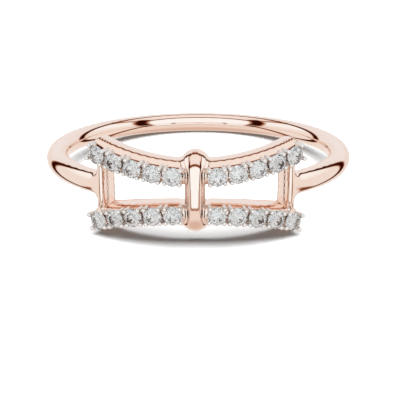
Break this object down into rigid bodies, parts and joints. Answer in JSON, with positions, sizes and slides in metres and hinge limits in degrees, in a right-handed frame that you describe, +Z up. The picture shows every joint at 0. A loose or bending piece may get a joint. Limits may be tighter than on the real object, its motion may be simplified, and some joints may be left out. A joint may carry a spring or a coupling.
{
  "type": "diamond band ring",
  "caption": "Slim rose gold finger ring whose wire shank opens at the front into two bowed rails of round brilliants, tied by end bars and an upright rounded ridge.",
  "frame": {"origin": "centre of the bounding box's footprint, on the floor that the lying ring rests on", "axes": "+Z up from the floor; -Y towards the viewer, where the windowed front faces; +X to the viewer's right"},
  "size_m": [0.0202, 0.0207, 0.0058],
  "materials": {
    "rose_gold": "mirror polished 14 karat rose gold",
    "rhodium": "rhodium plated prongs, polished",
    "diamond": "clear, facets polished"
  },
  "bodies": {
    "root": {"band": "rose_gold", "stone_upper_left_1": "diamond", "stone_upper_left_2": "diamond", "stone_upper_left_3": "diamond", "stone_upper_left_4": "diamond", "stone_upper_left_5": "diamond", "stone_upper_right_1": "diamond", "stone_upper_right_2": "diamond", "stone_upper_right_3": "diamond", "stone_upper_right_4": "diamond", "stone_upper_right_5": "diamond", "stone_lower_left_1": "diamond", "stone_lower_left_2": "diamond", "stone_lower_left_3": "diamond", "stone_lower_left_4": "diamond", "stone_lower_left_5": "diamond", "stone_lower_right_1": "diamond", "stone_lower_right_2": "diamond", "stone_lower_right_3": "diamond", "stone_lower_right_4": "diamond", "stone_lower_right_5": "diamond"}
  },
  "joints": []
}
